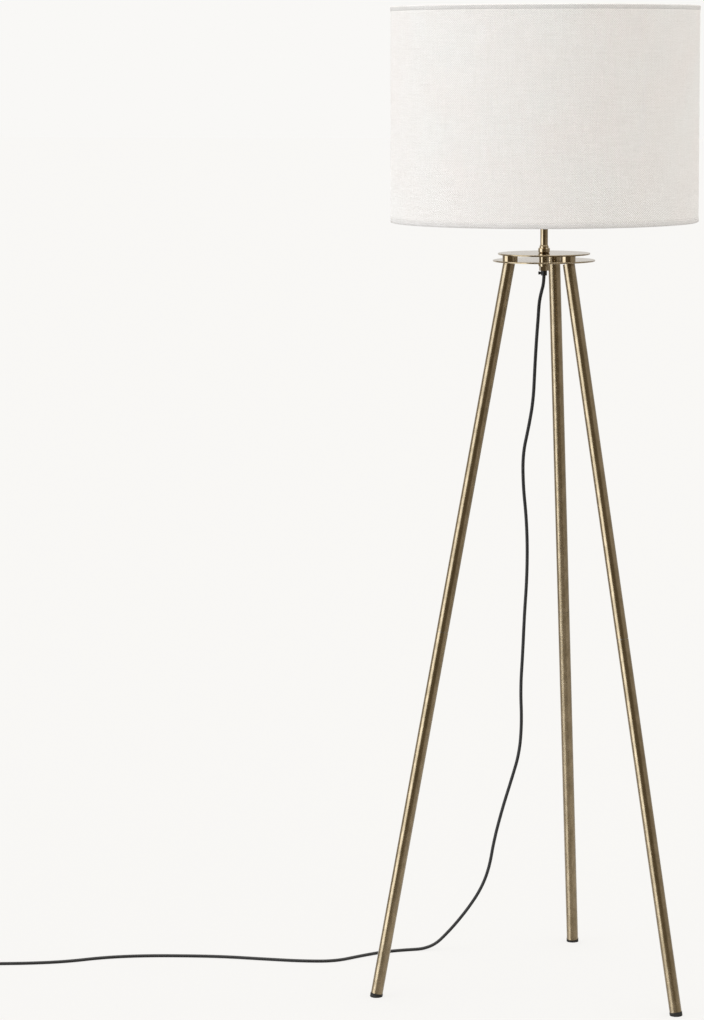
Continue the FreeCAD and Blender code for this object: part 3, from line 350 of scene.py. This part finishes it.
def seam_at_back():
    """The linen's overlap where the drum closes at the back: a folded strip, glued down."""
    low, high = trim_low[1].z, trim_high[0].z
    form = bmesh.new()
    bmesh.ops.create_grid(form, x_segments=6, y_segments=LINEN_RINGS, size=0.5)
    for vertex in form.verts:
        turn = vertex.co.x * SEAM_WIDTH / LINEN_RADIUS
        vertex.co = (
            STEM_AXIS.x - LINEN_RADIUS * math.sin(turn),
            STEM_AXIS.y + LINEN_RADIUS * math.cos(turn),
            low + (vertex.co.y + 0.5) * (high - low),
        )
    face_outwards(form)
    seam = piece_from("linen_seam", form)
    give_thickness(seam, SEAM_THICKNESS, 1.0)
    return seam


linen_cover = drum_wall()
back_seam = seam_at_back()
lower_edge = turned_edge("linen_edge_lower", SHADE_BASE, 1)
upper_edge = turned_edge("linen_edge_upper", SHADE_TOP, -1)
for piece, node in (
    (linen_cover, "shade_linen"),
    (lower_edge, "shade_trim_lower"),
    (upper_edge, "shade_trim_upper"),
):
    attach(piece, "shade")
    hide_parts(node)
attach(back_seam, "shade")


# ---------------------------------------------------------------- finishes
def antique_brass(name, turn, polish):
    """Antique brass: drawn tube or turned plate, brown patina wiped back in patches, under clear lacquer.

    The patina is dull and brown, the wiped metal paler and glossier, and the lacquer shines over both.
    """
    material = empty_material(name)
    tree = material.node_tree
    place = add(tree, "ShaderNodeTexCoord", {}, {})
    along = add(
        tree,
        "ShaderNodeMapping",
        {"vector_type": "POINT"},
        {"Vector": place.outputs["Object"], "Rotation": turn, "Scale": (1.0, 1.0, 0.35)},
    )
    # Patches of patina about 9 mm across, drawn out along the tube.
    patches = add(
        tree,
        "ShaderNodeTexNoise",
        {},
        {"Vector": along.outputs[0], "Scale": across(9.09), "Detail": 4.0, "Roughness": 0.6},
    )
    # Wiped specks about 3 mm across; the real ones are a third of that and would not show.
    specks = add(
        tree,
        "ShaderNodeTexNoise",
        {},
        {"Vector": along.outputs[0], "Scale": across(2.94), "Detail": 2.0, "Roughness": 0.5},
    )
    worn = add(
        tree,
        "ShaderNodeMapRange",
        {"interpolation_type": "SMOOTHSTEP"},
        {"Value": patches.outputs["Fac"], "From Min": 0.34, "From Max": 0.68},
    )
    speckle = add(
        tree,
        "ShaderNodeMapRange",
        {"interpolation_type": "SMOOTHSTEP"},
        {"Value": specks.outputs["Fac"], "From Min": 0.4, "From Max": 0.7, "To Max": 0.22},
    )
    bright = add(
        tree,
        "ShaderNodeMath",
        {"operation": "MULTIPLY_ADD", "use_clamp": True},
        {0: worn.outputs[0], 1: 0.5, 2: speckle.outputs[0]},
    )
    colour = add(
        tree,
        "ShaderNodeMix",
        {"data_type": "RGBA"},
        {0: bright.outputs[0], 6: linear("#8C7A5A"), 7: linear("#B5A282")},
    )
    gloss = add(
        tree,
        "ShaderNodeMapRange",
        {},
        {"Value": bright.outputs[0], "To Min": polish + 0.08, "To Max": polish},
    )
    relief = add(
        tree,
        "ShaderNodeBump",
        {},
        {"Height": specks.outputs["Fac"], "Strength": 0.02, "Distance": 0.0003},
    )
    shader = add(
        tree,
        "ShaderNodeBsdfPrincipled",
        {},
        {
            "Base Color": colour.outputs[2],
            "Metallic": 1.0,
            "Roughness": gloss.outputs[0],
            "Normal": relief.outputs[0],
            "Coat Weight": 1.0,
            "Coat Roughness": 0.08,
        },
    )
    add(tree, "ShaderNodeOutputMaterial", {}, {"Surface": shader.outputs[0]})
    return material


# A finish's clouds of tint are this many times as wide as its grain.
CLOUD_PER_GRAIN = 12


def plain_finish(name, tints, grain, roughness, bump, depth, settings):
    """A finish of one tone: a fine grain in its gloss and relief, and two close tints in wide clouds.

    Grain is in millimetres, roughness runs from the grain's low to its high, and depth is in metres.
    """
    material = empty_material(name)
    tree = material.node_tree
    place = add(tree, "ShaderNodeTexCoord", {}, {})
    fine = add(
        tree,
        "ShaderNodeTexNoise",
        {},
        {"Vector": place.outputs["Object"], "Scale": across(grain), "Detail": 3.0},
    )
    cloudy = add(
        tree,
        "ShaderNodeTexNoise",
        {},
        {"Vector": place.outputs["Object"], "Scale": across(grain * CLOUD_PER_GRAIN), "Detail": 2.0},
    )
    colour = add(
        tree,
        "ShaderNodeMix",
        {"data_type": "RGBA"},
        {0: cloudy.outputs["Fac"], 6: linear(tints[0]), 7: linear(tints[1])},
    )
    gloss = add(
        tree,
        "ShaderNodeMapRange",
        {},
        {"Value": fine.outputs["Fac"], "To Min": roughness[0], "To Max": roughness[1]},
    )
    relief = add(
        tree, "ShaderNodeBump", {}, {"Height": fine.outputs["Fac"], "Strength": bump, "Distance": depth}
    )
    shader = add(
        tree,
        "ShaderNodeBsdfPrincipled",
        {},
        {
            "Base Color": colour.outputs[2],
            "Roughness": gloss.outputs[0],
            "Normal": relief.outputs[0],
            **settings,
        },
    )
    add(tree, "ShaderNodeOutputMaterial", {}, {"Surface": shader.outputs[0]})
    return material


# Yarns stand about 0.9 mm apart; a repeat of two is drawn 3.6 mm long, or it would not show.
YARN_REPEAT = 0.0036


def woven_linen(name, shaded_yarn, lit_yarn):
    """Off-white plain-woven linen: uneven yarns both ways with slubs, over a white film.

    The colour is painted lighter on the yarns' round tops and greyer in the hollows between them, a
    painted highlight and painted shade over the yarns' own uneven tone.
    """
    material = empty_material(name)
    tree = material.node_tree
    place = add(tree, "ShaderNodeTexCoord", {}, {})
    centred = add(
        tree,
        "ShaderNodeMapping",
        {"vector_type": "POINT"},
        {"Vector": place.outputs["Object"], "Location": -STEM_AXIS},
    )
    # The cloth's own two ways: round the drum, from the front, and up.
    split = add(tree, "ShaderNodeSeparateXYZ", {}, {0: centred.outputs[0]})
    front = add(tree, "ShaderNodeMath", {"operation": "MULTIPLY"}, {0: split.outputs["Y"], 1: -1.0})
    angle = add(
        tree, "ShaderNodeMath", {"operation": "ARCTAN2"}, {0: split.outputs["X"], 1: front.outputs[0]}
    )
    round_way = add(
        tree, "ShaderNodeMath", {"operation": "MULTIPLY"}, {0: angle.outputs[0], 1: LINEN_RADIUS}
    )
    cloth = add(
        tree, "ShaderNodeCombineXYZ", {}, {"X": round_way.outputs[0], "Y": split.outputs["Z"]}
    )
    # Uneven yarns: long streaks up and round, a yarn's drawn width across and 35 mm long.
    yarns = []
    for stretch in ((1.0, 0.045, 1.0), (0.045, 1.0, 1.0)):
        drawn = add(
            tree,
            "ShaderNodeMapping",
            {"vector_type": "POINT"},
            {"Vector": cloth.outputs[0], "Scale": stretch},
        )
        yarns.append(
            add(
                tree,
                "ShaderNodeTexNoise",
                {},
                {"Vector": drawn.outputs[0], "Scale": across(1.5625), "Detail": 1.5, "Distortion": 0.6},
            )
        )
    both = add(
        tree,
        "ShaderNodeMix",
        {"data_type": "FLOAT"},
        {0: 0.5, 2: yarns[0].outputs["Fac"], 3: yarns[1].outputs["Fac"]},
    )
    # Yarns going over and under each other, in turn.
    waves = []
    for way in (round_way.outputs[0], split.outputs["Z"]):
        bent = add(
            tree,
            "ShaderNodeMath",
            {"operation": "MULTIPLY_ADD"},
            {0: way, 1: 2 * math.pi / YARN_REPEAT, 2: both.outputs[0]},
        )
        waves.append(add(tree, "ShaderNodeMath", {"operation": "SINE"}, {0: bent.outputs[0]}))
    crossings = add(
        tree, "ShaderNodeMath", {"operation": "MULTIPLY"}, {0: waves[0].outputs[0], 1: waves[1].outputs[0]}
    )
    # Single uneven crossings, 2 mm across.
    knots = add(
        tree,
        "ShaderNodeTexNoise",
        {},
        {"Vector": cloth.outputs[0], "Scale": across(1.923), "Detail": 1.0},
    )
    uneven = add(
        tree,
        "ShaderNodeMath",
        {"operation": "MULTIPLY_ADD"},
        {0: knots.outputs["Fac"], 1: 0.8, 2: both.outputs[0]},
    )
    height = add(
        tree,
        "ShaderNodeMath",
        {"operation": "MULTIPLY_ADD"},
        {0: crossings.outputs[0], 1: 0.45, 2: uneven.outputs[0]},
    )
    # How much of the lit yarn colour each point gets, by the weave's height: tops take the painted
    # highlight, hollows the painted shade.
    shown = add(
        tree,
        "ShaderNodeMapRange",
        {},
        {"Value": height.outputs[0], "From Min": 0.58, "From Max": 1.22},
    )
    # The cloth's own patches, a hand's breadth across, a little warmer and cooler.
    patches = add(
        tree,
        "ShaderNodeTexNoise",
        {},
        {"Vector": cloth.outputs[0], "Scale": across(111.1), "Detail": 2.0},
    )
    # Painted highlight and painted shade of the weave's relief, mixed from the shaded and lit yarn
    # colours; the uneven yarns and knots in the height add the cloth's own tone.
    yarn_tone_and_painted_shade = add(
        tree,
        "ShaderNodeMix",
        {"data_type": "RGBA"},
        {0: shown.outputs[0], 6: linear(shaded_yarn), 7: linear(lit_yarn)},
    )
    patch_colour = add(
        tree,
        "ShaderNodeMix",
        {"data_type": "RGBA"},
        {0: patches.outputs["Fac"], 6: linear("#FFF9F6"), 7: linear("#FDFEFC")},
    )
    colour = add(
        tree,
        "ShaderNodeMix",
        {"data_type": "RGBA", "blend_type": "MULTIPLY"},
        {0: 1.0, 6: yarn_tone_and_painted_shade.outputs[2], 7: patch_colour.outputs[2]},
    )
    relief = add(
        tree,
        "ShaderNodeBump",
        {},
        {"Height": height.outputs[0], "Strength": 1.0, "Distance": 0.0006},
    )
    shader = add(
        tree,
        "ShaderNodeBsdfPrincipled",
        {},
        {
            "Base Color": colour.outputs[2],
            "Roughness": 0.88,
            "Specular IOR Level": 0.25,
            "Sheen Weight": 0.12,
            "Sheen Roughness": 0.5,
            "Normal": relief.outputs[0],
        },
    )
    add(tree, "ShaderNodeOutputMaterial", {}, {"Surface": shader.outputs[0]})
    return material


METAL = {"Metallic": 1.0}
# The plain finishes' real grain is 0.05 to 0.3 mm, so it is drawn 0.7 to 5 mm wide, or it would not show.
finishes = {
    "antique_brass": antique_brass("antique_brass_lacquered_plate", (0, 0, 0), 0.08),
    # Brass turned on a lathe and left raw: a golden metal with soft, slightly clouded highlights.
    "plain_brass": plain_finish(
        "turned_brass", ("#C4AC7C", "#B69E70"), 1.11, (0.22, 0.32), 0.015, 0.0002, METAL
    ),
    # Zinc-plated steel: a cool grey metal, satin with a fine grain.
    "zinc_steel": plain_finish(
        "zinc_plated_steel", ("#B9BBBD", "#A8ABAD"), 1.43, (0.3, 0.42), 0.08, 0.0002, METAL
    ),
    # Moulded rubber: a warm black that shines little and has a fine pebble.
    "black_rubber": plain_finish(
        "black_rubber", ("#1B1A19", "#242321"), 1.11, (0.6, 0.78), 0.25, 0.0003, {}
    ),
    # Moulded nylon: a neutral black with a soft sheen from the tool's fine texture.
    "black_nylon": plain_finish(
        "black_moulded_nylon", ("#141414", "#1C1B1B"), 0.91, (0.36, 0.5), 0.15, 0.0002, {}
    ),
    # The flex's extruded PVC sheath: black, smooth and half matt, with a long soft highlight.
    "black_flex": plain_finish(
        "black_flex_sheath", ("#1A1A1B", "#232324"), 1.67, (0.38, 0.52), 0.1, 0.0002, {}
    ),
    # The plug's moulded PVC: the same black with an eroded texture that dulls it.
    "moulded_black": plain_finish(
        "black_moulded_plug", ("#18181A", "#202022"), 0.714, (0.4, 0.55), 0.3, 0.0002, {}
    ),
    # Nickel plate on turned brass: a bright, nearly mirror-smooth warm silver.
    "bright_nickel": plain_finish(
        "bright_nickel", ("#D2CFC8", "#C4C1BA"), 2.0, (0.1, 0.18), 0.03, 0.0001, METAL
    ),
    # Glazed porcelain: ivory, with a clear glossy glaze over it.
    "porcelain": plain_finish(
        "glazed_porcelain", ("#EDEAE2", "#E4E0D6"), 3.33, (0.1, 0.2), 0.04, 0.0002, {"Coat Weight": 0.5}
    ),
    # Blown opal glass: milky white, glossy, with light that spreads a centimetre inside it.
    "opal_glass": plain_finish(
        "opal_glass",
        ("#F4F2EC", "#EFEDE7"),
        5.0,
        (0.18, 0.26),
        0.02,
        0.0001,
        {"Subsurface Weight": 0.3, "Subsurface Radius": (0.01, 0.01, 0.01), "Subsurface Scale": 1.0},
    ),
    # The linen's yarn colours for painted shade in the hollows and painted highlight on the tops.
    "linen": woven_linen("woven_linen", "#ECEBEA", "#FEFEFE"),
    # The stiff calendered film that the linen is glued to: smooth warm white with a dull shine.
    "shade_film": plain_finish(
        "white_shade_film", ("#F1F0EB", "#EBE9E3"), 2.5, (0.35, 0.45), 0.05, 0.0002, {}
    ),
    # Powder-coated steel wire: warm white, half glossy, faintly dimpled.
    "white_wire": plain_finish(
        "white_powder_coat", ("#E9E7E1", "#E1DED7"), 0.833, (0.35, 0.5), 0.04, 0.0002, {}
    ),
}
for row in frame["record"]["subparts"]:
    paint(frame["nodes"][row["node"]], finishes[row["material_slot"]])

# Each leg's brass is drawn along its own tube.
TUBE_POLISH = 0.22
for side in ("back", "left", "right"):
    foot_low, foot_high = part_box(f"foot_{side}")
    top_low, top_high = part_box(f"leg_boss_{side}")
    lean = (top_low + top_high) / 2 - (foot_low + foot_high) / 2
    upright = lean.rotation_difference(Vector((0, 0, 1))).to_euler()
    tube_brass = antique_brass(f"antique_brass_tube_{side}", upright, TUBE_POLISH)
    for part in ("leg_upper", "leg_lower"):
        paint(frame["nodes"][f"{part}_{side}"], tube_brass)

# Where it is turned over the wire the linen is two layers. The turned edges are drawn a little greyer than
# the drum's face, with their own shaded and lit yarn colours for the weave's painted shade and painted
# highlight.
edge_linen = woven_linen("woven_linen_turned", "#D6D6D6", "#EEEEEE")
for piece, finish in (
    (mains_flex, finishes["black_flex"]),
    (flex_tie, finishes["black_nylon"]),
    (linen_cover, finishes["linen"]),
    (back_seam, finishes["linen"]),
    (lower_edge, edge_linen),
    (upper_edge, edge_linen),
):
    paint(piece, finish)


# ---------------------------------------------------------------- studio
# Each light's heading from +X, and how far from it the light ends and is even, all in degrees.
TALL_LIGHT = (-141, 30, 14)
LEFT_WALL = (166, 50, 30)
BACKDROP = (101, 55, 25)
RIGHT_WALL = (8, 62, 33)
COOL_DAYLIGHT = (0.93, 1.0, 1.09, 1.0)
WARM_ROOM = (1.0, 0.83, 0.58, 1.0)


def studio_world():
    """A pale studio: a tall soft light on the left, a soft ceiling, pale walls and a dim front right."""
    world = bpy.data.worlds.new("studio")
    bpy.context.scene.world = world
    world.use_nodes = True
    tree = world.node_tree
    tree.nodes.clear()
    way = add(tree, "ShaderNodeTexCoord", {}, {})
    level = add(
        tree,
        "ShaderNodeVectorMath",
        {"operation": "MULTIPLY"},
        {0: way.outputs["Generated"], 1: (1.0, 1.0, 0.0)},
    )
    heading = add(tree, "ShaderNodeVectorMath", {"operation": "NORMALIZE"}, {0: level.outputs[0]})
    height = add(tree, "ShaderNodeSeparateXYZ", {}, {0: way.outputs["Generated"]})

    def toward(azimuth, edge, core):
        """1 within core degrees of a heading, 0 past edge degrees."""
        turn = math.radians(azimuth)
        near = add(
            tree,
            "ShaderNodeVectorMath",
            {"operation": "DOT_PRODUCT"},
            {0: heading.outputs[0], 1: (math.cos(turn), math.sin(turn), 0.0)},
        )
        return add(
            tree,
            "ShaderNodeMapRange",
            {"interpolation_type": "SMOOTHSTEP"},
            {
                "Value": near.outputs["Value"],
                "From Min": math.cos(math.radians(edge)),
                "From Max": math.cos(math.radians(core)),
            },
        ).outputs[0]

    def by_height(low, high, strength_low, strength_high):
        """One strength below the low height of the sky, another above the high one."""
        return add(
            tree,
            "ShaderNodeMapRange",
            {"interpolation_type": "SMOOTHSTEP"},
            {
                "Value": height.outputs["Z"],
                "From Min": low,
                "From Max": high,
                "To Min": strength_low,
                "To Max": strength_high,
            },
        ).outputs[0]

    # The tall light and the lit backdrop are brightest low down.
    tall = add(
        tree,
        "ShaderNodeMath",
        {"operation": "MULTIPLY"},
        {0: toward(*TALL_LIGHT), 1: by_height(0.15, 0.4, 2.8, 0.5)},
    )
    key = add(tree, "ShaderNodeBackground", {}, {"Color": COOL_DAYLIGHT, "Strength": tall.outputs[0]})
    total = 0.0
    for share, strength in (
        (toward(*LEFT_WALL), 0.25),
        (toward(*BACKDROP), by_height(0.15, 0.4, 0.5, 0.2)),
        (toward(*RIGHT_WALL), 0.3),
        (by_height(0.3, 0.7, 0.0, 1.45), 1.0),
    ):
        total = add(
            tree, "ShaderNodeMath", {"operation": "MULTIPLY_ADD"}, {0: share, 1: strength, 2: total}
        ).outputs[0]
    lit = add(tree, "ShaderNodeBackground", {}, {"Color": (1.0, 1.0, 1.0, 1.0), "Strength": total})
    # The unlit part of the room is warm and dim.
    room = add(tree, "ShaderNodeBackground", {}, {"Color": WARM_ROOM, "Strength": 0.165})
    fill = add(tree, "ShaderNodeAddShader", {}, {0: lit.outputs[0], 1: room.outputs[0]})
    light = add(tree, "ShaderNodeAddShader", {}, {0: key.outputs[0], 1: fill.outputs[0]})
    plain = add(
        tree, "ShaderNodeBackground", {}, {"Color": linear(PLAIN_BACKGROUND), "Strength": 1.0}
    )
    ray = add(tree, "ShaderNodeLightPath", {}, {})
    shown = add(
        tree,
        "ShaderNodeMixShader",
        {},
        {0: ray.outputs["Is Camera Ray"], 1: light.outputs[0], 2: plain.outputs[0]},
    )
    add(tree, "ShaderNodeOutputWorld", {}, {"Surface": shown.outputs[0]})


FLOOR_HALF_WIDTH = 60.0
# How much of the floor's look takes shadows, and the matt grey that gives the background's own tone there.
SHADOW_SHARE = 0.16
MATT_TONE = 0.654
BOUNCE_GREY = (0.55, 0.55, 0.55, 1.0)
# How far from the lamp its metal sees the floor, in metres, and how little of it at each end.
REFLECTED_NEAR, REFLECTED_FAR = 0.3, 2.2
UNSEEN_NEAR, UNSEEN_FAR = 0.45, 1.0


def studio_floor():
    """A wide pale floor with soft, faint shadows."""
    form = bmesh.new()
    bmesh.ops.create_grid(form, x_segments=1, y_segments=1, size=FLOOR_HALF_WIDTH)
    floor = piece_from("studio_floor", form, smooth=False)
    material = empty_material("pale_studio_floor")
    tree = material.node_tree
    pale = linear(PLAIN_BACKGROUND)
    glow = add(tree, "ShaderNodeEmission", {}, {"Color": pale, "Strength": 1.0})
    matt_colour = [MATT_TONE * part for part in pale[:3]] + [1.0]
    matt = add(tree, "ShaderNodeBsdfDiffuse", {}, {"Color": matt_colour})
    shown = add(
        tree, "ShaderNodeMixShader", {}, {0: SHADOW_SHARE, 1: glow.outputs[0], 2: matt.outputs[0]}
    )
    bounce = add(tree, "ShaderNodeBsdfDiffuse", {}, {"Color": BOUNCE_GREY})
    clear = add(tree, "ShaderNodeBsdfTransparent", {}, {})
    ray = add(tree, "ShaderNodeLightPath", {}, {})
    # Metal sees the lit floor near the lamp, and past it the room.
    place = add(tree, "ShaderNodeTexCoord", {}, {})
    away = add(tree, "ShaderNodeVectorMath", {"operation": "LENGTH"}, {0: place.outputs["Object"]})
    beyond = add(
        tree,
        "ShaderNodeMapRange",
        {"interpolation_type": "SMOOTHSTEP"},
        {
            "Value": away.outputs["Value"],
            "From Min": REFLECTED_NEAR,
            "From Max": REFLECTED_FAR,
            "To Min": UNSEEN_NEAR,
            "To Max": UNSEEN_FAR,
        },
    )
    unseen = add(
        tree,
        "ShaderNodeMath",
        {"operation": "MULTIPLY"},
        {0: ray.outputs["Is Glossy Ray"], 1: beyond.outputs[0]},
    )
    reflected = add(
        tree,
        "ShaderNodeMixShader",
        {},
        {0: unseen.outputs[0], 1: bounce.outputs[0], 2: clear.outputs[0]},
    )
    surface = add(
        tree,
        "ShaderNodeMixShader",
        {},
        {0: ray.outputs["Is Camera Ray"], 1: reflected.outputs[0], 2: shown.outputs[0]},
    )
    add(tree, "ShaderNodeOutputMaterial", {}, {"Surface": surface.outputs[0]})
    material.cycles.emission_sampling = "NONE"
    paint(floor, material)


studio_world()
studio_floor()
